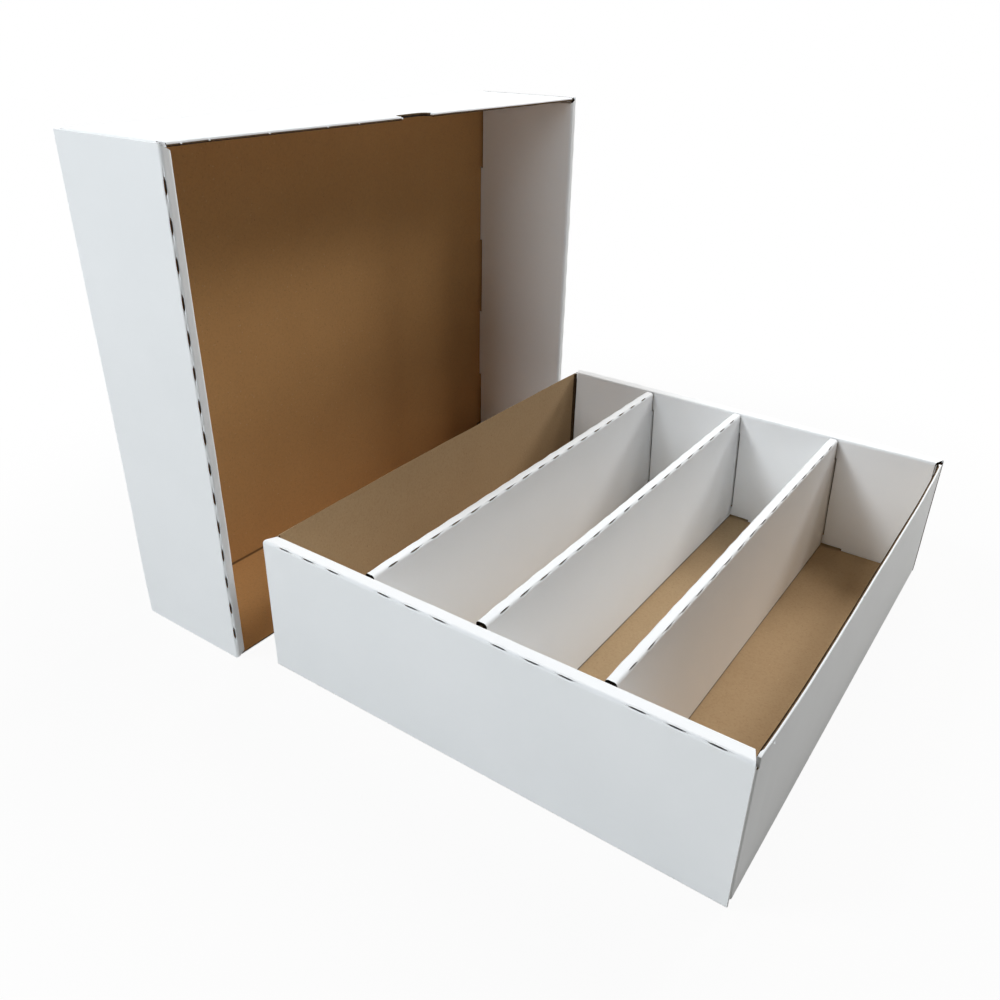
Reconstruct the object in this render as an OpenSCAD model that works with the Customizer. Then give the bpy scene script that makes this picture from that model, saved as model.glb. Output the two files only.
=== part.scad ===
// Four-row storage box for trading cards, folded from corrugated board.
// The open tray with its three row dividers stands beside its full-depth lid,
// which stands on one long wall with its opening towards the tray.

/* [Board] */
// Thickness of the corrugated board
board = 2.2; // [1.6:0.1:2.8]

/* [Tray] */
// Outside width of the tray, across the rows
tray_w = 310; // [270:1:380]
// Outside length of the tray, along the rows
tray_l = 373; // [300:1:440]
// Outside height of the tray
tray_h = 95; // [75:1:120]
// Space on each side of the corner tab inside a rolled-over tray wall
tray_layer_gap = 1.6; // [0.4:0.1:2.2]
// How far the free edge of a side wall stays below the top strips
side_drop = 0.8; // [0.4:0.1:2]
// How far a side wall bows out at the middle of its free edge
side_bow = 2; // [0.5:0.1:3]
// Length of the corner tabs that are tucked into the rolled-over walls
corner_tab = 60; // [30:1:64]
// How far the top of a corner tab stays below the top strip
tab_drop = 5; // [0:0.5:12]
// How far the end of a top strip narrows beyond the side wall's inner face
strip_clear = 2; // [0.8:0.1:3]

/* [Dividers] */
// Width across the top of a divider
divider_w = 7; // [6:0.1:10]
// How far each leg of a divider spreads outwards at the floor
leg_splay = 3.5; // [0:0.1:5]
// Free space between the end of a divider and the inner panel
divider_end_gap = 1.5; // [1:0.1:3]
// How far the left divider has slid towards the back wall
slide_left = -0.5; // [-0.8:0.1:0.8]
// How far the middle divider has slid towards the back wall
slide_middle = 0.6; // [-0.8:0.1:0.8]
// How far the right divider has slid towards the back wall
slide_right = -0.5; // [-0.8:0.1:0.8]
// How far the divider's ears reach out of the slots behind the inner panel
ear_reach = 1; // [0.3:0.1:1.4]
// Height of an ear's lower edge above the floor
ear_low = 10; // [5:1:25]
// Height of the ear itself
ear_h = 66; // [20:1:66]
// Free space on each side of an ear in its slot
ear_clear = 0.9; // [0.4:0.1:1.5]

/* [Locks] */
// Length of the tab that locks a tray inner panel into the floor, one a row
tray_lock = 32; // [20:1:45]
// Length of the tabs that lock a lid inner panel, two a wall
lid_lock = 63; // [40:1:80]
// Distance between the middles of the lid's two lock tabs
lid_lock_pitch = 130; // [110:1:160]
// Free space round a lock tab in its slot
lock_clear = 0.6; // [0.3:0.1:1]
// Gap under the free edge of an inner panel
foot_gap = 1.5; // [0.3:0.1:2]
// How far a lock tab's tip stays inside the outer face
lock_tip = 0.3; // [0.1:0.1:1]

/* [Lid] */
// Depth of the lid
lid_d = 92.4; // [70:0.1:120]
// Space between lid and tray at each side wall
lid_play_w = 1.5; // [0.5:0.1:4]
// Space between lid and tray at each rolled-over wall
lid_play_l = 5.7; // [1:0.1:8]
// Space on each side of the corner tab inside a rolled-over lid wall
lid_layer_gap = 0.2; // [0.2:0.1:1.5]
// Width of the thumb notch in the middle of a lid side wall
thumb_w = 31; // [20:1:45]
// Depth of the thumb notch
thumb_d = 8; // [4:0.5:14]
// Radius of the thumb notch's inner corners
thumb_r = 5; // [2:0.5:7]

/* [Perforated creases] */
// Length of one slit along a crease
slit_l = 9.5; // [5:0.1:14]
// Width of a slit in the tray's creases, which lie almost closed
tray_slit_w = 0.7; // [0.4:0.1:1.6]
// Width of a slit in the dividers' creases
divider_slit_w = 0.9; // [0.4:0.1:1.6]
// Width of a slit in the lid's creases, which the fold holds open
lid_slit_w = 1.2; // [0.4:0.1:1.6]
// Distance from one slit to the next
slit_pitch = 19.8; // [17:0.1:24]
// Least distance from the end of a crease to the middle of a slit
slit_margin = 16; // [10:1:30]

/* [Standing] */
// Distance between the rim of the standing lid and the tray
stand_gap = 26; // [10:1:80]
// How far the tray stands forward of the lid's middle
tray_forward = 1.8; // [0:0.1:20]

/* [Hidden] */
$fn = 48;

// Rows and what divides them
rows = 4;
row_w = (tray_w - 2 * board - (rows - 1) * divider_w) / rows;
row_pitch = row_w + divider_w;
divider_x = [for (i = [0 : rows - 2]) (i - (rows - 2) / 2) * row_pitch];
row_x = [for (i = [0 : rows - 1]) (i - (rows - 1) / 2) * row_pitch];

// Top strip of a rolled-over wall: outer panel, corner tab and inner panel
tray_strip = 3 * board + 2 * tray_layer_gap;
lid_strip = 3 * board + 2 * lid_layer_gap;
strip_inset = board + strip_clear;

// Lid, sized from the tray that it goes over
lid_w = tray_w + 2 * lid_play_w + 2 * board;
lid_l = tray_l + 2 * lid_play_l + 2 * lid_strip;

// Dividers
divider_h = tray_h - board;
divider_l = tray_l - 2 * tray_strip - 2 * divider_end_gap;
ear_l = divider_end_gap + board + ear_reach;

// Small fits inside the folds
tab_clear = 0.4;
corner_clear = 0.6;
tip_chamfer = 1;
bow_steps = 18;
cut = 0.5;

// Slits in the dividers' creases leave the ends of the crease whole
tray_slits = [for (x = row_x) for (k = [-1 : 1]) x + k * slit_pitch];
lid_slits = spaced(lid_w);
divider_slits = spaced(divider_l);

// Places of the parts, with the origin under the middle of the whole set
set_w = lid_d + stand_gap + tray_w + side_bow;
lid_back_x = -set_w / 2;
tray_x = lid_back_x + lid_d + stand_gap + tray_w / 2;

// Evenly spaced middles of as many slits as a crease has room for
function spaced(length) =
    let (n = floor((length - 2 * slit_margin) / slit_pitch) + 1)
    [for (i = [0 : n - 1]) (i - (n - 1) / 2) * slit_pitch];

// Outward offset of the bowed free edge at the fraction t of its length
function bow_at(t) = side_bow * (1 - pow(2 * t - 1, 4));

// Horizontal place of a leg's outer face at height z above the floor
function leg_x(z) = divider_w / 2 + leg_splay * (1 - z / (divider_h - board));

// One quarter of a fold's outer round: x and y are the signs of its quadrant
module fold_round(x, y) {
    intersection() {
        circle(board);
        translate([x < 0 ? -board : 0, y < 0 ? -board : 0]) square(board);
    }
}

// A profile drawn as (depth into the box, height), run along X
module run_x(length) {
    rotate([90, 0, 90]) translate([0, 0, -length / 2]) linear_extrude(length) children();
}

// A profile drawn as (x, height), run along Y
module run_y(length) {
    rotate([90, 0, 0]) translate([0, 0, -length / 2]) linear_extrude(length) children();
}

// One slit with pointed ends through a crease along X, cut at half a right
// angle into the crease whose middle is at the origin
module slit(slit_w) {
    rotate([-45, 0, 0])
        translate([0, 0, -cut])
            linear_extrude(board + 2 * cut)
                polygon([
                    [-slit_l / 2, 0], [-slit_l / 4, -slit_w / 2], [slit_l / 4, -slit_w / 2],
                    [slit_l / 2, 0], [slit_l / 4, slit_w / 2], [-slit_l / 4, slit_w / 2]
                ]);
}

// Outer panel of a rolled-over wall, with the fold that joins it to the floor;
// the outer face is at y = 0 and y runs into the box
module outer_panel(width, height) {
    run_x(width) {
        translate([board, board]) fold_round(-1, -1);
        translate([0, board]) square([board, height - 2 * board]);
    }
}

// Top strip and inner panel of a rolled-over wall, narrowed at both ends
module rolled_panel(width, height, strip) {
    intersection() {
        run_x(width) {
            translate([board, height - board]) fold_round(-1, 1);
            translate([board, height - board]) square([strip - 2 * board, board]);
            translate([strip - board, height - board]) fold_round(1, 1);
            translate([strip - board, board + foot_gap])
                square([board, height - 2 * board - foot_gap]);
        }
        linear_extrude(height + cut)
            polygon([
                [-width / 2, 0], [width / 2, 0],
                [width / 2 - strip_inset, strip], [strip_inset - width / 2, strip]
            ]);
    }
}

// Tab on an inner panel's free edge, with chamfered tips
module lock_tab(length, strip) {
    translate([0, strip - board / 2, 0])
        run_y(board)
            polygon([
                [-length / 2, board + foot_gap + cut], [-length / 2, lock_tip + tip_chamfer],
                [tip_chamfer - length / 2, lock_tip], [length / 2 - tip_chamfer, lock_tip],
                [length / 2, lock_tip + tip_chamfer], [length / 2, board + foot_gap + cut]
            ]);
}

// Slot in the floor that a lock tab goes through
module lock_slot(length, strip) {
    translate([-length / 2 - lock_clear, strip - board - lock_clear, -cut])
        cube([length + 2 * lock_clear, board + 2 * lock_clear, board + 2 * cut]);
}

// Corner tab with the upright fold that joins it to the side wall at x = 0;
// the tab runs towards -x
module tucked_corner(height, gap) {
    tab_h = height - 2 * board - 2 * tab_clear - tab_drop;
    translate([-board, board + gap, board + tab_clear]) {
        translate([0, board, 0]) linear_extrude(tab_h) fold_round(1, -1);
        translate([-corner_tab, 0, 0]) cube([corner_tab, board, tab_h]);
        translate([0, board, -tab_clear]) cube([board, corner_clear, tab_h + tab_clear]);
    }
}

// Both rolled-over walls, the corner tabs and the floor of a folded blank,
// without its side walls; the outside of the floor is at z = 0
module folded_blank(width, length, height, gap, slits, slit_w, locks, lock_l) {
    strip = 3 * board + 2 * gap;
    difference() {
        union() {
            translate([board - width / 2, board - length / 2, 0])
                cube([width - 2 * board, length - 2 * board, board]);
            for (s = [0, 1]) mirror([s, 0, 0])
                translate([width / 2 - board, 0, board])
                    run_y(length - 2 * (2 * board + gap)) fold_round(1, -1);
        }
        for (s = [0, 1]) mirror([0, s, 0]) translate([0, -length / 2, 0])
            for (x = locks) translate([x, 0, 0]) lock_slot(lock_l, strip);
    }
    for (s = [0, 1]) mirror([0, s, 0]) translate([0, -length / 2, 0]) {
        difference() {
            union() {
                outer_panel(width, height);
                rolled_panel(width, height, strip);
            }
            for (x = slits)
                translate([x, board, height - board]) mirror([0, 1, 0]) slit(slit_w);
        }
        for (x = locks) translate([x, 0, 0]) lock_tab(lock_l, strip);
        for (k = [0, 1]) mirror([k, 0, 0])
            translate([width / 2, 0, 0]) tucked_corner(height, gap);
    }
}

// Side wall of the tray, whose free edge bows outwards; its outer face starts
// at x = 0 and its fold is at z = 0
module bowed_wall(length, height) {
    points = [for (i = [0 : bow_steps])
        let (y = length * (i / bow_steps - 0.5), d = bow_at(i / bow_steps))
        for (p = [[-board, y, 0], [0, y, 0], [d, y, height], [d - board, y, height]]) p];
    sides = [for (i = [0 : bow_steps - 1]) for (k = [0 : 3])
        let (a = 4 * i + k, b = 4 * i + (k + 1) % 4)
        for (f = [[a, b, b + 4], [a, b + 4, a + 4]]) f];
    last = 4 * bow_steps;
    ends = [[0, 3, 2, 1], [last, last + 1, last + 2, last + 3]];
    polyhedron(points, concat(sides, ends));
}

// Section of a divider's right leg between two heights, widened by grow
module leg_section(z_low, z_high, grow) {
    polygon([
        [leg_x(z_low) - board - grow, z_low], [leg_x(z_low) + grow, z_low],
        [leg_x(z_high) + grow, z_high], [leg_x(z_high) - board - grow, z_high]
    ]);
}

// Slots in an inner panel that the ears of one divider go through
module ear_slots() {
    for (s = [0, 1]) mirror([s, 0, 0])
        translate([0, tray_strip - board / 2, board])
            run_y(board + 2 * cut)
                leg_section(ear_low - ear_clear, ear_low + ear_h + ear_clear, ear_clear);
}

module tray() {
    wall_l = tray_l - 2 * (2 * board + tray_layer_gap + corner_clear);
    color("white") translate([tray_x, -tray_forward, 0]) {
        difference() {
            folded_blank(tray_w, tray_l, tray_h, tray_layer_gap, tray_slits, tray_slit_w,
                row_x, tray_lock);
            for (s = [0, 1]) mirror([0, s, 0]) translate([0, -tray_l / 2, 0])
                for (x = divider_x) translate([x, 0, 0]) ear_slots();
        }
        for (s = [0, 1]) mirror([s, 0, 0])
            translate([tray_w / 2, 0, board])
                bowed_wall(wall_l, tray_h - board - side_drop);
    }
}

// Divider folded from one strip of board as an upside-down U with spread legs;
// slide is how far it lies from the tray's middle, towards the back
module divider(x, slide) {
    color("white") translate([tray_x + x, slide - tray_forward, board]) difference() {
        union() {
            run_y(divider_l) {
                translate([board - divider_w / 2, divider_h - board])
                    square([divider_w - 2 * board, board]);
                for (s = [0, 1]) mirror([s, 0]) {
                    translate([divider_w / 2 - board, divider_h - board]) fold_round(1, 1);
                    leg_section(0, divider_h - board, 0);
                }
            }
            run_y(divider_l + 2 * ear_l)
                for (s = [0, 1]) mirror([s, 0]) leg_section(ear_low, ear_low + ear_h, 0);
        }
        for (s = [0, 1]) mirror([s, 0, 0])
            for (y = divider_slits)
                translate([divider_w / 2 - board, y, divider_h - board])
                    rotate([0, 0, -90]) slit(divider_slit_w);
    }
}

module divider_left() { divider(divider_x[0], slide_left); }

module divider_middle() { divider(divider_x[1], slide_middle); }

module divider_right() { divider(divider_x[2], slide_right); }

// Side wall of the lid with its thumb notch; the outer face is at x = 0
module lid_side_wall() {
    wall_l = lid_l - 2 * (2 * board + lid_layer_gap);
    difference() {
        translate([-board, -wall_l / 2, 0]) cube([board, wall_l, lid_d - board - side_drop]);
        translate([-board / 2, 0, lid_d - board - side_drop])
            rotate([90, 0, 90]) translate([0, 0, -board / 2 - cut])
                linear_extrude(board + 2 * cut) {
                    translate([-thumb_w / 2, thumb_r - thumb_d])
                        square([thumb_w, thumb_d - thumb_r + cut]);
                    translate([thumb_r - thumb_w / 2, -thumb_d])
                        square([thumb_w - 2 * thumb_r, thumb_d]);
                    for (s = [-1, 1])
                        translate([s * (thumb_w / 2 - thumb_r), thumb_r - thumb_d]) circle(thumb_r);
                }
    }
}

module lid() {
    color("white") translate([lid_back_x, 0, lid_w / 2]) rotate([0, 90, 0]) {
        folded_blank(lid_w, lid_l, lid_d, lid_layer_gap, lid_slits, lid_slit_w,
            [-lid_lock_pitch / 2, lid_lock_pitch / 2], lid_lock);
        for (s = [0, 1]) mirror([s, 0, 0])
            translate([lid_w / 2, 0, board]) lid_side_wall();
    }
}

tray();
divider_left();
divider_middle();
divider_right();
lid();
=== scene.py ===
# Four-row storage box for trading cards: an open tray with three folded row
# dividers, and its full-depth lid stood on one long wall beside it.
import math

import bmesh
import bpy
from mathutils import Matrix, Vector, noise


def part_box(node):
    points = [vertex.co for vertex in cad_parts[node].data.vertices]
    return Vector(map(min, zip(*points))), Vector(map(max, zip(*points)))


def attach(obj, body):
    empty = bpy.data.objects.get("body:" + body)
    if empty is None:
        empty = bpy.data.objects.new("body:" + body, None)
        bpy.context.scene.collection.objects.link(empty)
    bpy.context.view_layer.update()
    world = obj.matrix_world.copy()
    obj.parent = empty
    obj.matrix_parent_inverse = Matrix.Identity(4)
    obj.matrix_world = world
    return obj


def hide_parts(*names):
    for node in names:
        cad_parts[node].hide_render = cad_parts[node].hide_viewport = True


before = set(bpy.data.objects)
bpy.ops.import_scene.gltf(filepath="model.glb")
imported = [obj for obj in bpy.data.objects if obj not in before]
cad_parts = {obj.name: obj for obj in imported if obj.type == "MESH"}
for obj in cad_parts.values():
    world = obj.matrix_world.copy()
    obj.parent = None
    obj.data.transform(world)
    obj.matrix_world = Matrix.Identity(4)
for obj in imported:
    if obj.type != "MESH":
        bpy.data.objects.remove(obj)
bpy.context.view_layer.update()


# The board.
# All pieces are die-cut from one stock: corrugated board with a clay-coated
# white outer liner, a plain kraft inner liner and a brown fluted core.
MM = 0.001
board_thickness = 2.2 * MM
liner_thickness = 0.3 * MM
flute_pitch = 6.2 * MM
flute_telegraph = 0.035 * MM
# HOLLOW_SHADE marks painted shade: near-black paper on faces that lie in the hollows and gaps of
# the board.
WHITE, KRAFT, CUT_AND_SHADE, CRUSHED, HOLLOW_SHADE = range(5)


class Wire:
    """A shader socket on which sums written in Python become Math nodes."""

    def __init__(self, finish, socket):
        self.finish = finish
        self.socket = socket

    def maths(self, operation, *values):
        return self.finish.node("ShaderNodeMath", {"operation": operation}, values)

    def __add__(self, other):
        return self.maths("ADD", self, other)

    __radd__ = __add__

    def __sub__(self, other):
        return self.maths("SUBTRACT", self, other)

    def __rsub__(self, other):
        return self.maths("SUBTRACT", other, self)

    def __mul__(self, other):
        return self.maths("MULTIPLY", self, other)

    __rmul__ = __mul__

    def __pow__(self, other):
        return self.maths("POWER", self, other)

    def between(self, low, high):
        """0 at low or less, 1 at high or more, smooth in the middle."""
        settings = {"interpolation_type": "SMOOTHSTEP"}
        return self.finish.node("ShaderNodeMapRange", settings, {0: self, 1: low, 2: high})


class Finish:
    """One material, with its Principled shader and a way to add nodes to it."""

    def __init__(self, name):
        self.material = bpy.data.materials.new(name)
        self.material.use_nodes = True
        self.tree = self.material.node_tree
        self.shader = self.tree.nodes["Principled BSDF"]

    def feed(self, socket, value):
        if isinstance(value, Wire):
            self.tree.links.new(value.socket, socket)
        else:
            socket.default_value = value

    def node(self, kind, settings=None, values=(), output=0):
        node = self.tree.nodes.new(kind)
        for name, value in (settings or {}).items():
            setattr(node, name, value)
        pairs = values.items() if isinstance(values, dict) else enumerate(values)
        for key, value in pairs:
            self.feed(node.inputs[key], value)
        return Wire(self, node.outputs[output])

    def set(self, **sockets):
        for name, value in sockets.items():
            self.feed(self.shader.inputs[name.replace("_", " ")], value)
        return self

    def place(self):
        """Object coordinates."""
        return self.node("ShaderNodeTexCoord", output=3)

    def grain(self, per_metre, detail):
        """Noise from 0 to 1 with about per_metre lumps in a metre."""
        values = {
            "Vector": self.place(),
            "Scale": per_metre,
            "Detail": detail,
            "Roughness": 0.55,
        }
        return self.node("ShaderNodeTexNoise", values=values)

    def along(self, axis):
        """The place along one axis, in metres."""
        return self.node("ShaderNodeSeparateXYZ", values=[self.place()], output=axis)

    def across_flutes(self):
        """Distance across the flutes, in metres, from the board's own map."""
        board_map = self.node("ShaderNodeUVMap", {"uv_map": "board"})
        return self.node("ShaderNodeSeparateXYZ", values=[board_map])

    def blend(self, share, low, high):
        """The colour low where share is 0, and high where it is 1."""
        settings = {"data_type": "RGBA"}
        return self.node("ShaderNodeMix", settings, {0: share, 6: low, 7: high}, output=2)

    def bump(self, height, distance, normal=None):
        values = {"Height": height, "Distance": distance}
        if normal is not None:
            values["Normal"] = normal
        return self.node("ShaderNodeBump", values=values)


def srgb(red, green, blue):
    """A colour given in 0 to 255 steps, as a linear colour."""
    steps = [value / 255 for value in (red, green, blue)]
    return (*[((s + 0.055) / 1.055) ** 2.4 if s > 0.04045 else s / 12.92 for s in steps], 1)


def flute_wave(finish):
    """1 over the crest of a flute and -1 between two of them."""
    turn = 2 * math.pi / flute_pitch
    distance = finish.across_flutes() * turn
    wander = (finish.grain(9, detail=2) - 0.5) * 1.6
    return (distance + wander).maths("SINE")


def white_liner(name, painted_shade_line=None):
    """Clay-coated paper: faint clouds, and the flutes just show through.

    painted_shade_line gives the share of a painted shade line, from the finish's own nodes.
    """
    finish = Finish(name)
    clouds = finish.grain(14, detail=4)
    tooth = finish.grain(1500, detail=2)
    relief = finish.bump(flute_wave(finish), flute_telegraph)
    relief = finish.bump(tooth, 0.02 * MM, relief)
    paper = finish.blend(clouds, srgb(236, 238, 239), srgb(244, 245, 246))
    if painted_shade_line is not None:
        # Painted shade: a dark brown line mixed into the white paper.
        paper = finish.blend(painted_shade_line(finish), paper, srgb(84, 72, 60))
    finish.set(Base_Color=paper, Roughness=0.56 + 0.12 * clouds, Normal=relief)
    finish.shader.inputs["Specular IOR Level"].default_value = 0.3
    return finish.material


def kraft_liner(name, dark, pale, painted_shade_line=None):
    """Unbleached kraft: short fibres, pale and dark flecks, flute shadows."""
    finish = Finish(name)
    clouds = finish.grain(16, detail=5)
    fibres = finish.grain(650, detail=4)
    pale_flecks = finish.grain(520, detail=2).between(0.66, 0.78)
    dark_flecks = finish.grain(830, detail=1).between(0.7, 0.78)
    waves = flute_wave(finish)
    paper = finish.blend(clouds, dark, pale)
    paper = finish.blend(fibres.between(0.4, 0.8) * 0.3, paper, srgb(152, 118, 80))
    paper = finish.blend(pale_flecks * 0.35, paper, srgb(214, 188, 150))
    paper = finish.blend(dark_flecks * 0.45, paper, srgb(112, 82, 52))
    paper = finish.blend(0.05 + 0.05 * waves, paper, srgb(140, 106, 70))
    if painted_shade_line is not None:
        # Painted shade: a deep brown line mixed into the kraft paper.
        paper = finish.blend(painted_shade_line(finish), paper, srgb(70, 44, 22))
    relief = finish.bump(waves, flute_telegraph * 1.5)
    relief = finish.bump(fibres, 0.04 * MM, relief)
    finish.set(Base_Color=paper, Roughness=0.86 - 0.08 * fibres, Normal=relief)
    finish.shader.inputs["Specular IOR Level"].default_value = 0.2
    return finish.material


def core_paper(name, dark, pale):
    """Core paper where the board is cut, torn into short shreds."""
    finish = Finish(name)
    shreds = finish.grain(700, detail=5)
    finish.set(
        Base_Color=finish.blend(shreds.between(0.25, 0.75), dark, pale),
        Roughness=0.95,
        Normal=finish.bump(shreds, 0.12 * MM),
    )
    finish.shader.inputs["Specular IOR Level"].default_value = 0.1
    return finish.material


board_finishes = [
    white_liner("white_liner"),
    kraft_liner("kraft_liner", srgb(178, 150, 114), srgb(193, 166, 129)),
    # The cut-edge paper covers true cut edges, and is also painted shade on kraft hidden in the
    # rolled walls' corners.
    core_paper("cut_edge_and_painted_shade", srgb(78, 60, 42), srgb(124, 100, 74)),
    core_paper("crushed_edge", srgb(192, 178, 154), srgb(220, 210, 190)),
    # Painted shade: near-black core paper standing for the shade in the flutes' hollows and in
    # the gaps at ends and feet.
    core_paper("hollow_core_painted_shade", srgb(26, 20, 15), srgb(52, 40, 30)),
]


# Folding and cutting.
# A folded board is never dead flat and its cut edges show the hollow core, so
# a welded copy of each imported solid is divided, given its liners and eased.
grid_step = 14 * MM
grid_margin = 12 * MM
ease_size = 0.3 * MM
ease_span = 160 * MM
ease_start = 25 * MM
ripple_size = 0.07 * MM
ripple_span = 22 * MM
slit_pitch = 19.8 * MM
slit_bulge = 0.3 * MM
tuft_size = 0.85 * MM
noise.seed_set(7)


def weld(bm):
    bmesh.ops.remove_doubles(bm, verts=bm.verts[:], dist=1e-5)
    bmesh.ops.dissolve_degenerate(bm, edges=bm.edges[:], dist=1e-5)


def welded_copy(node):
    """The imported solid's surface with its loose triangles made whole faces."""
    bm = bmesh.new()
    bm.from_mesh(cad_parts[node].data)
    weld(bm)
    bmesh.ops.dissolve_limit(
        bm, angle_limit=math.radians(0.05), verts=bm.verts[:], edges=bm.edges[:]
    )
    bm.verts.layers.float.new("place_in_core")
    bm.verts.layers.float_vector.new("sink")
    bm.faces.layers.int.new("part")
    return bm


def evenly(low, high):
    """Places of the grid's planes along one axis, clear of the outer walls."""
    start, end = low + grid_margin, high - grid_margin
    count = max(1, round((end - start) / grid_step))
    return [start + (end - start) * k / count for k in range(count + 1)]


def divide(bm, low, high, slit_axis, slits):
    """Cuts the surface into a grid, with planes through the slits' middles."""
    for axis in range(3):
        places = evenly(low[axis], high[axis])
        if axis == slit_axis:
            halves = {round(at + side * slit_pitch / 2, 6) for at in slits for side in (-1, 0, 1)}
            places = [at for at in halves if low[axis] < at < high[axis]]
        normal = Vector([1.0 if k == axis else 0.0 for k in range(3)])
        for at in sorted(places):
            geometry = bm.verts[:] + bm.edges[:] + bm.faces[:]
            bmesh.ops.bisect_plane(
                bm, geom=geometry, dist=1e-6, plane_co=normal * at, plane_no=normal
            )
    weld(bm)


def eased(point):
    """Where a point of a flat board ends up in one that has been handled."""
    grip = min(1.0, max(0.0, point.z / ease_start))
    drift = noise.noise_vector(point / ease_span) * 2 * ease_size
    ripple = noise.noise_vector(point / ripple_span) * 2 * ripple_size
    return point + (drift + ripple) * grip


def connected_groups(faces):
    """Splits faces into patches that hang together by an edge."""
    left = set(faces)
    groups = []
    for start in faces:
        if start not in left:
            continue
        left.remove(start)
        patch = [start]
        for face in patch:
            for edge in face.edges:
                for other in edge.link_faces:
                    if other in left:
                        left.remove(other)
                        patch.append(other)
        groups.append(patch)
    return groups


def mean_normal(vert, faces):
    total = Vector()
    for face in vert.link_faces:
        if face in faces:
            total += face.normal
    return total.normalized()


class CutShape:
    """How far a cut edge is pressed in from its white side to its kraft side,
    and the paper that each part of it shows."""

    def __init__(self, depths, papers):
        self.rim, self.outer, self.middle, self.inner = [depth * MM for depth in depths]
        self.papers = papers


# Parts given the near-black hollow paper are painted shade: the pressed-in core, the open ends
# and the gap under a foot.
free_edge = CutShape((1.2, 0.8, 0.4, 0.9), (WHITE, WHITE, CUT_AND_SHADE, HOLLOW_SHADE))
notch_edge = CutShape((0.1, 0.3, 0.5, 0.7), (CRUSHED, CUT_AND_SHADE, HOLLOW_SHADE, HOLLOW_SHADE))
turned_edge = CutShape((1.7, 1.2, 0.6, 0.2), (KRAFT, CUT_AND_SHADE, KRAFT, KRAFT))
flush_end = CutShape((0.1, 0.2, 0.3, 0.4), (WHITE, WHITE, CRUSHED, CRUSHED))
split_end = CutShape((0.1, 0.5, 0.7, 0.6), (WHITE, CUT_AND_SHADE, CUT_AND_SHADE, CUT_AND_SHADE))
hollow_end = CutShape((0.0, 1.3, 1.7, 1.7), (HOLLOW_SHADE, HOLLOW_SHADE, HOLLOW_SHADE, HOLLOW_SHADE))
deep_end = CutShape((0.0, 2.6, 3.0, 3.0), (HOLLOW_SHADE, HOLLOW_SHADE, HOLLOW_SHADE, HOLLOW_SHADE))
standing_edge = CutShape((0.2, 0.3, 0.2, 0.1), (HOLLOW_SHADE, HOLLOW_SHADE, HOLLOW_SHADE, KRAFT))


def open_cut_edges(bm, faces, shape):
    """Splits cut faces into two liners and a core, and presses them in."""
    white_side, middle, kraft_side = 1.0, 2.0, 3.0
    place = bm.verts.layers.float["place_in_core"]
    sink = bm.verts.layers.float_vector["sink"]
    part = bm.faces.layers.int["part"]
    across = {}
    for patch in connected_groups(faces):
        rim = bmesh.ops.inset_region(
            bm, faces=patch, thickness=liner_thickness, use_even_offset=True
        )["faces"]
        core = {vert for face in patch for vert in face.verts}
        ring = {vert for face in rim for vert in face.verts} - core
        patch_set, rim_set = set(patch), set(rim)
        for vert in core:
            papers = set()
            for edge in vert.link_edges:
                other = edge.other_vert(vert)
                if other in ring:
                    papers.update(face.material_index for face in other.link_faces)
            vert[place] = kraft_side if KRAFT in papers else white_side
            vert[sink] = mean_normal(vert, patch_set)
        for vert in ring:
            beside = [edge.other_vert(vert) for edge in vert.link_edges]
            if any(other in core and other[place] == white_side for other in beside):
                vert[sink] = mean_normal(vert, rim_set)
        for face in rim:
            inner = any(vert[place] == kraft_side for vert in face.verts)
            face.material_index = shape.papers[3 if inner else 0]
        for face in patch:
            face[part] = 1
            for edge in face.edges:
                if edge.verts[0][place] != edge.verts[1][place]:
                    across[edge] = True
    bmesh.ops.subdivide_edges(bm, edges=list(across), cuts=1)
    for face in bm.faces:
        if face[part] == 1:
            inner = max(vert[place] for vert in face.verts) > middle
            face.material_index = shape.papers[2 if inner else 1]
            face[part] = 0
    for vert in bm.verts:
        direction = Vector(vert[sink])
        if direction.length > 0:
            depth, rough = shape.rim, 0.15
            if vert[place] > 0:
                depth, rough = shape.outer, 0.4
            if vert[place] > white_side:
                depth = shape.inner if vert[place] > middle else shape.middle
            depth *= 1 + rough * noise.noise(vert.co / (5 * MM))
            vert.co -= direction.normalized() * depth
        vert[place] = 0
        vert[sink] = (0, 0, 0)


def slit_row(middle, count):
    """Places of the slits along a crease, evenly about its middle."""
    return [middle + (k - (count - 1) / 2) * slit_pitch for k in range(count)]


def bulge_slits(bm, slit_axis, slits, outward):
    """Springs a crease outwards at each slit, where nothing holds it back."""
    for vert in bm.verts:
        direction = outward(vert.co)
        if direction is None:
            continue
        gap = min(abs(vert.co[slit_axis] - at) for at in slits)
        reach = max(0.0, 1 - gap / (slit_pitch / 2))
        wobble = 1 + 0.8 * noise.noise(vert.co / (13 * MM))
        vert.co += direction * slit_bulge * reach * wobble


def map_flutes(bm, across):
    """Lays the board's own map: u runs across the flutes, v along them."""
    layer = bm.loops.layers.uv.new("board")
    for face in bm.faces:
        u_axis = across(face.normal)
        for loop in face.loops:
            loop[layer].uv = (loop.vert.co[u_axis], loop.vert.co[(u_axis + 1) % 3])


def nick_tuft(bm, place, along, outward):
    """A flake of white liner that the die's nick left curled at a free edge."""
    up = along.cross(outward).normalized()
    corners = []
    for a, o, u in ((-1, 0, -0.35), (1, 0, -0.35), (1, 0, 0.15), (-1, 0, 0.15)):
        corners.append(place + (along * a * 0.9 + outward * o + up * u) * tuft_size)
    for a, o, u in ((-0.5, 1.1, 0.3), (0.6, 0.9, 0.55)):
        corners.append(place + (along * a + outward * o + up * u) * tuft_size)
    verts = [bm.verts.new(corner) for corner in corners]
    hull = bmesh.ops.convex_hull(bm, input=verts)
    for item in hull["geom"]:
        if isinstance(item, bmesh.types.BMFace):
            item.material_index = WHITE


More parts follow.
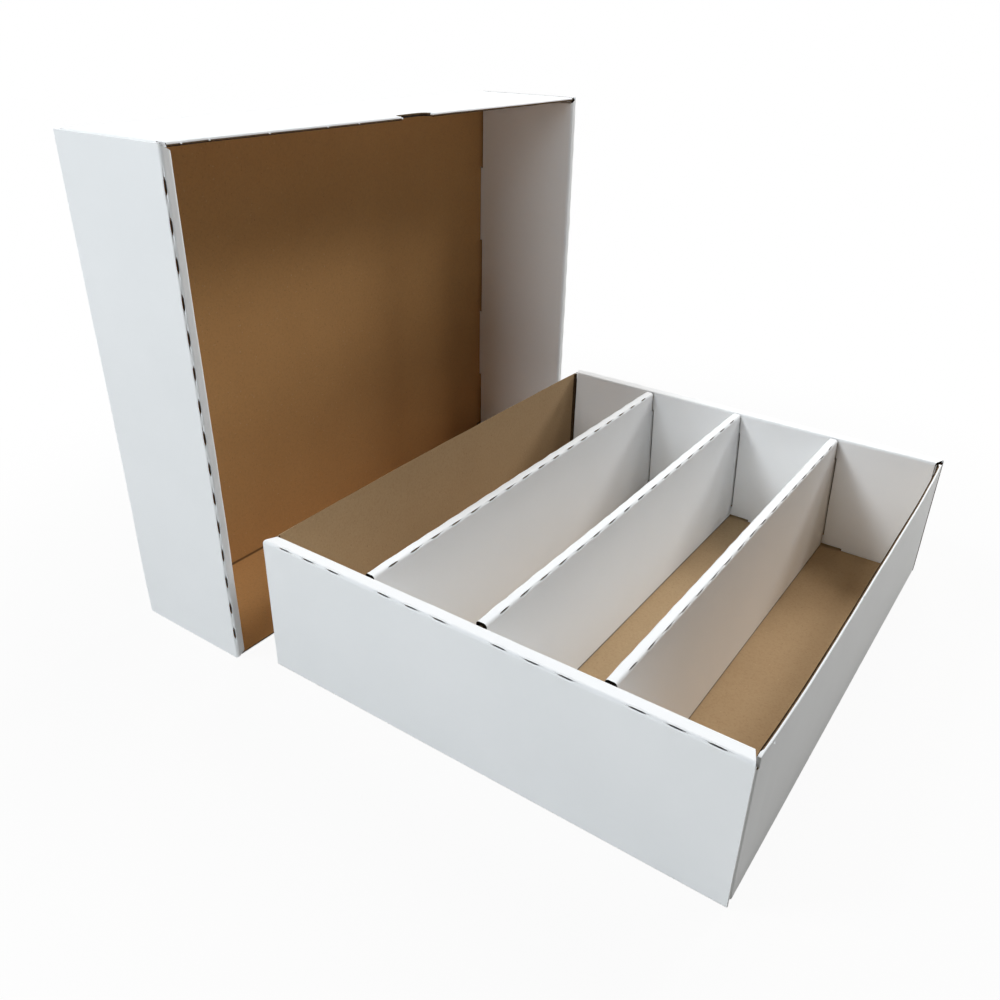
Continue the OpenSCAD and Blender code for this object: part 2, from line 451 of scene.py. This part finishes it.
def finished_board(bm, name, node, finishes=board_finishes):
    """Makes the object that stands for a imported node."""
    for vert in bm.verts:
        vert.co = eased(vert.co)
    for face in bm.faces:
        face.smooth = True
    bm.verts.layers.float.remove(bm.verts.layers.float["place_in_core"])
    bm.verts.layers.float_vector.remove(bm.verts.layers.float_vector["sink"])
    bm.faces.layers.int.remove(bm.faces.layers.int["part"])
    mesh = bpy.data.meshes.new(name)
    bm.to_mesh(mesh)
    bm.free()
    mesh.set_sharp_from_angle(angle=math.radians(38))
    for material in finishes:
        mesh.materials.append(material)
    piece = bpy.data.objects.new(name, mesh)
    bpy.context.scene.collection.objects.link(piece)
    level = piece.modifiers.new("level_normals", "WEIGHTED_NORMAL")
    level.keep_sharp = True
    level.weight = 100
    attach(piece, "root")
    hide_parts(node)


# Tray and lid blanks.
# Both are folded the same way: single side walls, and end walls rolled over
# the corner tabs. White liner is outside, and inside on the rolled-in panels.
near = 0.12 * MM


class Blank:
    """A folded blank seen in its own frame: floor down, open side up."""

    def __init__(self, node, to_blank, layer_gap, turned_side=0):
        self.node = node
        self.turned_side = turned_side
        self.wall_start = 2 * board_thickness + layer_gap
        self.to_blank = to_blank
        self.turn = to_blank.to_3x3()
        low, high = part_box(node)
        self.box = (low, high)
        corners = [to_blank @ low, to_blank @ high]
        self.length = abs(corners[1].y - corners[0].y)
        self.height = max(corners[0].z, corners[1].z)
        self.strip = 3 * board_thickness + 2 * layer_gap

    def liner(self, face, width):
        """Which paper a face shows."""
        at = self.to_blank @ face.calc_center_median()
        normal = self.turn @ face.normal
        inward_x = width / 2 - abs(at.x)
        inward_y = self.length / 2 - abs(at.y)
        out_x = normal.x * math.copysign(1, at.x)
        out_y = normal.y * math.copysign(1, at.y)
        top = self.height - board_thickness
        if inward_y < self.strip + near:
            on_wall = inward_x < board_thickness + 2 * near and inward_y > self.wall_start - near
            # Across the box inside a rolled wall, faces other than the outer white get the dark
            # cut-edge paper: true cut faces, and painted shade on the side walls' kraft in the
            # fold's gap.
            if abs(normal.x) > 0.8:
                if out_x > 0 and inward_x < 4 * near and inward_y > board_thickness + near:
                    return WHITE
                return CUT_AND_SHADE
            if normal.z > 0.5:
                if at.z > self.height - board_thickness * 0.55 and not on_wall:
                    return WHITE
                return KRAFT if inward_x > self.strip else CUT_AND_SHADE
            if normal.z < -0.5:
                return WHITE if at.z < board_thickness * 0.6 else KRAFT
            if inward_y > self.strip - board_thickness / 2:
                return WHITE
            return WHITE if out_y > 0 else CUT_AND_SHADE
        if normal.z < -0.3:
            return WHITE
        if out_x > 0.3 and inward_x < board_thickness / 2:
            return WHITE
        if normal.z > 0.7 and at.z > top - 4 * board_thickness:
            return CUT_AND_SHADE
        if abs(normal.y) > 0.7:
            return CUT_AND_SHADE
        return KRAFT

    def edge_shape(self, face, width):
        """How a cut face that the eye can reach was left by the die."""
        if face.material_index != CUT_AND_SHADE:
            return None
        at = self.to_blank @ face.calc_center_median()
        normal = self.turn @ face.normal
        inward_x = width / 2 - abs(at.x)
        inward_y = self.length / 2 - abs(at.y)
        on_side_wall = inward_x < board_thickness and at.z > 3 * board_thickness
        if inward_y > self.strip or (on_side_wall and normal.z > 0.7):
            if not on_side_wall or abs(normal.x) > 0.5 or normal.z < -0.3:
                return None
            if at.z < self.height - 1.5 * board_thickness:
                return notch_edge
            return turned_edge if at.x * self.turned_side > 0 else free_edge
        if normal.x * math.copysign(1, at.x) < 0.8 or inward_x > 2.5 * board_thickness:
            return None
        if at.y < 0:
            return flush_end
        return split_end if inward_x < near else hollow_end

    def crease_direction(self, point):
        """Which way the outer crease of a rolled wall springs out, if there."""
        at = self.to_blank @ point
        inward_y = self.length / 2 - abs(at.y)
        if at.z < self.height - board_thickness * 1.02 or inward_y > board_thickness * 1.02:
            return None
        out = Vector((0, math.copysign(0.7, at.y), 0.7))
        return self.turn.transposed() @ out


def dress_blank(blank, name, width, slit_axis, slits, across, tufts, finishes=board_finishes):
    bm = welded_copy(blank.node)
    divide(bm, *blank.box, slit_axis, slits)
    for face in bm.faces:
        face.material_index = blank.liner(face, width)
    for shape in (free_edge, notch_edge, turned_edge, flush_end, split_end, hollow_end):
        faces = [face for face in bm.faces if blank.edge_shape(face, width) is shape]
        open_cut_edges(bm, faces, shape)
    bulge_slits(bm, slit_axis, slits, blank.crease_direction)
    for place, outward in tufts:
        nick_tuft(bm, place, Vector((0, 1, 0)), outward)
    map_flutes(bm, across)
    finished_board(bm, name, blank.node, finishes)


# The tray.
# Its flutes run along the rows. The side walls are single board, cut off raw
# at the top, and spring a little outwards.
tray_width = 310 * MM
tray_layer_gap = 1.6 * MM
tray_low, tray_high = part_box("tray")
tray_middle = (tray_low + tray_high) / 2
to_tray = Matrix.Translation((-tray_middle.x, -tray_middle.y, 0))
tray_blank = Blank("tray", to_tray, tray_layer_gap, turned_side=-1)
row_pitch = 78.15 * MM
row_middles = [tray_middle.x + (row - 1.5) * row_pitch for row in range(4)]
tray_slits = [at for middle in row_middles for at in slit_row(middle, 3)]
wall_edge = Vector((tray_high.x - 0.4 * MM, tray_middle.y, 93.6 * MM))
tray_tufts = [
    (wall_edge + Vector((0, at * MM, 0)), Vector((-0.3, 0, 0.9))) for at in (-167.5, -27, 145)
]
dress_blank(
    tray_blank,
    "tray_board",
    tray_width,
    0,
    tray_slits,
    lambda normal: 2 if abs(normal.x) > 0.7 else 0,
    tray_tufts,
)


# The row dividers.
# Each is one strip of the same board folded to an upside-down U with its
# white liner outwards. The flutes stand upright in its legs.
divider_width = 7 * MM
open_end_height = 16 * MM


def foot_shade_line(finish):
    """The painted shade line where a leg stands on the tray's floor."""
    above_floor = finish.along(2) - board_thickness
    return 0.85 * (1 - above_floor.between(0.7 * MM, 1.9 * MM))


# The dividers' white liner carries painted shade along the bottom of each leg.
divider_finishes = board_finishes.copy()
divider_finishes[WHITE] = white_liner("divider_white_liner_foot_shade", foot_shade_line)


def divider_liner(face, middle_x, low, high):
    normal = face.normal
    at = face.calc_center_median()
    out_x = normal.x * math.copysign(1, at.x - middle_x)
    if abs(normal.y) > 0.7:
        return CUT_AND_SHADE
    if normal.z < -0.5:
        return CUT_AND_SHADE if at.z < low.z + board_thickness else KRAFT
    return WHITE if normal.z > 0.5 or out_x > 0 else KRAFT


def dress_divider(node):
    low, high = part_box(node)
    middle = (low + high) / 2
    slits = slit_row(middle.y, 17)

    def crease_direction(point):
        half = divider_width / 2 - board_thickness * 1.02
        if point.z < high.z - board_thickness * 1.02 or abs(point.x - middle.x) < half:
            return None
        return Vector((math.copysign(0.7, point.x - middle.x), 0, 0.7))

    bm = welded_copy(node)
    divide(bm, low, high, 1, slits)
    for face in bm.faces:
        face.material_index = divider_liner(face, middle.x, low, high)
    ends, feet = [], []
    for face in bm.faces:
        at = face.calc_center_median()
        if abs(face.normal.y) > 0.9 and at.z > high.z - open_end_height:
            ends.append(face)
        elif face.normal.z < -0.9 and at.z < low.z + near:
            feet.append(face)
    # The open ends and the feet are pressed in and given near-black paper: painted shade in the
    # ends' hollows and under the legs.
    open_cut_edges(bm, ends, deep_end)
    open_cut_edges(bm, feet, standing_edge)
    bulge_slits(bm, 1, slits, crease_direction)
    map_flutes(bm, lambda normal: 1)
    finished_board(bm, node + "_board", node, divider_finishes)


for node in ("divider_left", "divider_middle", "divider_right"):
    dress_divider(node)


# The lid.
# The same kind of blank as the tray, large enough to go over it, stood on one
# long wall. Its open side faces the tray.
lid_layer_gap = 0.2 * MM
lid_low, lid_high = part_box("lid")
lid_width = lid_high.z - lid_low.z
lid_stand = Matrix(((0, 0, -1, lid_width / 2), (0, 1, 0, 0), (1, 0, 0, -lid_low.x), (0, 0, 0, 1)))
lid_blank = Blank("lid", lid_stand, lid_layer_gap)


def low_fold_shade_line(finish):
    """Painted shade in the crease inside, between the back panel and the lower wall."""
    aside = finish.along(0) - (lid_low.x + board_thickness)
    above = finish.along(2) - (lid_low.z + board_thickness)
    return 0.75 * (1 - ((aside * aside + above * above) ** 0.5).between(0.4 * MM, 1.9 * MM))


# Painted shade: the lid's kraft is a deeper, more orange copy of the tray's kraft for the kraft
# in the lid's shade, with a painted shade line along its low fold.
lid_finishes = board_finishes.copy()
lid_finishes[KRAFT] = kraft_liner(
    "lid_kraft_liner_painted_shade", srgb(184, 138, 86), srgb(200, 154, 100), low_fold_shade_line
)
lid_slits = slit_row(lid_width / 2, 15)
wall_edge = Vector((lid_high.x - 1.4 * MM, 0, lid_high.z - 0.9 * MM))
lid_tufts = [
    (wall_edge + Vector((0, at * MM, 0)), Vector((0.9, 0, -0.4)))
    for at in (-185.6, -168, -127, -82, -55.4, -15.4)
]
dress_blank(
    lid_blank,
    "lid_board",
    lid_width,
    2,
    lid_slits,
    lambda normal: 0 if abs(normal.z) > 0.7 else 2,
    lid_tufts,
    lid_finishes,
)


# The studio.
# A plain pale floor under five soft lamps, the strongest at the front left
# and behind, with the camera where the photographer stood.
camera_place = Vector((282.06, -486.61, 376.50)) * MM
camera_pan = 34.57
camera_tilt = 28.55
camera_roll = 1.12
photo_focal = 0.8952
sensor = 36

view = bpy.data.cameras.new("camera")
view.sensor_width = sensor
view.lens = photo_focal * sensor
camera = bpy.data.objects.new("camera", view)
camera.matrix_world = (
    Matrix.Translation(camera_place)
    @ Matrix.Rotation(math.radians(camera_pan), 4, "Z")
    @ Matrix.Rotation(math.radians(90 - camera_tilt), 4, "X")
    @ Matrix.Rotation(math.radians(camera_roll), 4, "Z")
)
bpy.context.scene.collection.objects.link(camera)
bpy.context.scene.camera = camera

floor_size = 6
floor_drop = 0.5 * MM
floor_finish = Finish("pale_floor")
floor_finish.set(Base_Color=(0.55, 0.54, 0.52, 1), Roughness=0.9)
rays = floor_finish.node("ShaderNodeLightPath", output=0)
away = floor_finish.node(
    "ShaderNodeVectorMath", {"operation": "LENGTH"}, [floor_finish.place()], output=1
)
glow = floor_finish.node("ShaderNodeEmission", values=[(1, 1, 1, 1), 1.0])
lit = Wire(floor_finish, floor_finish.shader.outputs[0])
whiteness = rays * (0.94 + 0.06 * away.between(0.3, 0.6))
seen_floor = floor_finish.node("ShaderNodeMixShader", values=[whiteness, lit, glow])
output = floor_finish.tree.nodes["Material Output"]
floor_finish.tree.links.new(seen_floor.socket, output.inputs["Surface"])
bm = bmesh.new()
bmesh.ops.create_grid(bm, x_segments=1, y_segments=1, size=floor_size / 2)
floor_mesh = bpy.data.meshes.new("floor")
bm.to_mesh(floor_mesh)
bm.free()
floor_mesh.materials.append(floor_finish.material)
floor = bpy.data.objects.new("floor", floor_mesh)
floor.location.z = -floor_drop
bpy.context.scene.collection.objects.link(floor)


lamp_reach = 2.2
lowest_lamp = 0.56
lamp_size = 0.55
lamp_aim = Vector((0, 0, 0.1))


def lamp_at(name, azimuth, elevation, watts, colour):
    """A soft square lamp; azimuth runs from +X towards +Y."""
    a, e = math.radians(azimuth), math.radians(elevation)
    toward = Vector((math.cos(a) * math.cos(e), math.sin(a) * math.cos(e), math.sin(e)))
    place = toward * lamp_reach
    place.z = max(place.z, lowest_lamp)
    lamp = bpy.data.lights.new(name, "AREA")
    lamp.size = lamp_size
    lamp.energy = watts
    lamp.color = colour
    turn = (lamp_aim - place).to_track_quat("-Z", "Y").to_matrix().to_4x4()
    holder = bpy.data.objects.new(name, lamp)
    holder.matrix_world = Matrix.Translation(place) @ turn
    bpy.context.scene.collection.objects.link(holder)


lamp_at("window_light", 225, 52, 25, (0.91, 0.96, 1.0))
lamp_at("right_light", 70, 35, 22, (0.96, 0.97, 0.97))
lamp_at("back_light", 97, 50, 17, (0.99, 0.98, 0.96))
lamp_at("side_light", 45, 50, 9, (1.0, 0.97, 0.95))
lamp_at("front_light", 270, 13, 14, (0.93, 0.97, 1.0))

sky = bpy.data.worlds.new("surroundings")
sky.use_nodes = True
bpy.context.scene.world = sky
sky_nodes, sky_links = sky.node_tree.nodes, sky.node_tree.links
background = sky_nodes["Background"]
background.inputs["Color"].default_value = (1, 1, 1, 1)
path = sky_nodes.new("ShaderNodeLightPath")
seen = sky_nodes.new("ShaderNodeMath")
seen.operation = "MAXIMUM"
sky_links.new(path.outputs["Is Camera Ray"], seen.inputs[0])
sky_links.new(path.outputs["Is Glossy Ray"], seen.inputs[1])
sky_links.new(seen.outputs[0], background.inputs["Strength"])

bpy.context.scene.view_settings.view_transform = "Standard"
